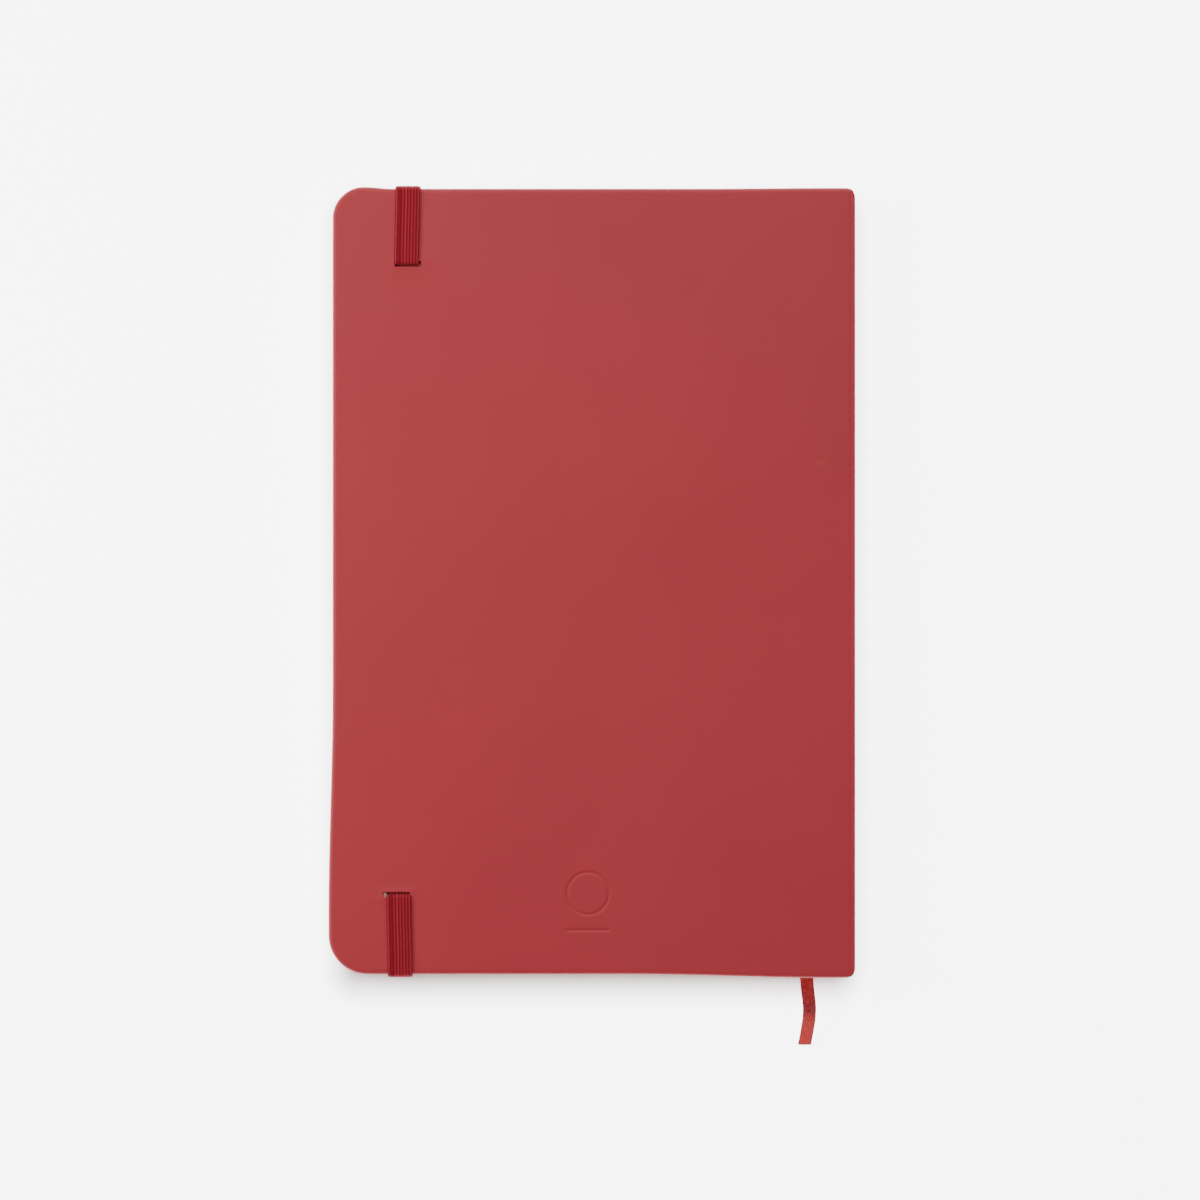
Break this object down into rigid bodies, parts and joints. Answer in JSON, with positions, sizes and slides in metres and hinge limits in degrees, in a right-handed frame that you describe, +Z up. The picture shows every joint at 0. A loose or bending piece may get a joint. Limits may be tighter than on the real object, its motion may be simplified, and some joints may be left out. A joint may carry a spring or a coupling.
{
  "type": "notebook",
  "caption": "A5 hardcover notebook with folded, sewn sections that open flat, an elastic closure band and a ribbon marker.",
  "frame": {"origin": "centre of the base, on the surface that the closed notebook lies on, front cover down", "axes": "+X from the fore-edge to the spine, +Y from the tail to the head, +Z up through the closed book to its back cover"},
  "size_m": [0.14, 0.231, 0.0162],
  "materials": {
    "cover_skin": "matt moulded-grain polyurethane leatherette",
    "grey_board": "pressed grey bookbinding board",
    "endpaper": "uncoated ivory endpaper",
    "page_paper": "uncoated ivory writing paper",
    "thread": "waxed sewing thread",
    "band_cloth": "woven cloth over a cord",
    "lining_cloth": "open-weave lining",
    "elastic_webbing": "ribbed woven elastic",
    "ribbon_satin": "satin ribbon"
  },
  "bodies": {
    "front_leaves": {"front_flyleaf": "endpaper", "section_1": "page_paper", "stitches_1": "thread"},
    "front_cover": {"front_cover_skin": "cover_skin", "front_cover_board": "grey_board", "front_pastedown": "endpaper"},
    "spine": {"spine_skin": "cover_skin", "spine_board": "grey_board", "spine_lining": "lining_cloth", "head_band": "band_cloth", "tail_band": "band_cloth"},
    "back_leaves": {"back_flyleaf": "endpaper", "section_6": "page_paper", "stitches_6": "thread"},
    "back_cover": {"back_cover_skin": "cover_skin", "back_cover_board": "grey_board", "back_pastedown": "endpaper", "elastic_tab_head": "elastic_webbing", "elastic_tab_tail": "elastic_webbing"},
    "leaves_2": {"section_2": "page_paper", "stitches_2": "thread"},
    "leaves_3": {"section_3": "page_paper", "stitches_3": "thread", "ribbon_run": "ribbon_satin"},
    "leaves_4": {"section_4": "page_paper", "stitches_4": "thread"},
    "leaves_5": {"section_5": "page_paper", "stitches_5": "thread"},
    "elastic_loop": {"elastic_head_run": "elastic_webbing", "elastic_front_run": "elastic_webbing", "elastic_tail_run": "elastic_webbing"},
    "ribbon_end": {"ribbon_tail": "ribbon_satin"}
  },
  "joints": [
    {"name": "middle_open", "type": "hinge", "parent": "front_leaves", "child": "spine", "pos_m": [0.0694, 0, 0.0016], "axis": [0, 1, 0], "range_deg": [0, 90]},
    {"name": "back_half_open", "type": "hinge", "parent": "spine", "child": "back_leaves", "pos_m": [0.0694, 0, 0.0146], "axis": [0, 1, 0], "range_deg": [0, 90]},
    {"name": "leaves_2_shift", "type": "slide", "parent": "front_leaves", "child": "leaves_2", "axis": [1, 0, 0], "range_m": [0, 0.0037]},
    {"name": "leaves_3_shift", "type": "slide", "parent": "leaves_2", "child": "leaves_3", "axis": [1, 0, 0], "range_m": [0, 0.0037]},
    {"name": "leaves_5_shift", "type": "slide", "parent": "back_leaves", "child": "leaves_5", "axis": [1, 0, 0], "range_m": [0, 0.0037]},
    {"name": "leaves_4_shift", "type": "slide", "parent": "leaves_5", "child": "leaves_4", "axis": [1, 0, 0], "range_m": [0, 0.0037]},
    {"name": "front_cover_open", "type": "hinge", "parent": "front_leaves", "child": "front_cover", "pos_m": [0.0694, 0, 0.0016], "axis": [0, 1, 0], "range_deg": [-180, 0]},
    {"name": "back_cover_open", "type": "hinge", "parent": "back_leaves", "child": "back_cover", "pos_m": [0.0694, 0, 0.0146], "axis": [0, -1, 0], "range_deg": [-180, 0]},
    {"name": "elastic_pull_off", "type": "slide", "parent": "back_cover", "child": "elastic_loop", "axis": [-1, 0, 0], "range_m": [0, 0.026], "stiffness_N_per_m": 30, "deforming": ["elastic_head_run", "elastic_front_run", "elastic_tail_run"]},
    {"name": "ribbon_tail_lift", "type": "hinge", "parent": "leaves_3", "child": "ribbon_end", "pos_m": [0.0572, -0.1025, 0.0081], "axis": [-1, 0, 0], "range_deg": [0, 50]}
  ],
  "couplings": [
    {"joint": "back_half_open", "follows": "middle_open", "ratio": 1},
    {"joint": "leaves_2_shift", "follows": "middle_open", "m_per_rad": 0.0023555},
    {"joint": "leaves_3_shift", "follows": "middle_open", "m_per_rad": 0.0023555},
    {"joint": "leaves_5_shift", "follows": "middle_open", "m_per_rad": 0.0023555},
    {"joint": "leaves_4_shift", "follows": "middle_open", "m_per_rad": 0.0023555}
  ]
}
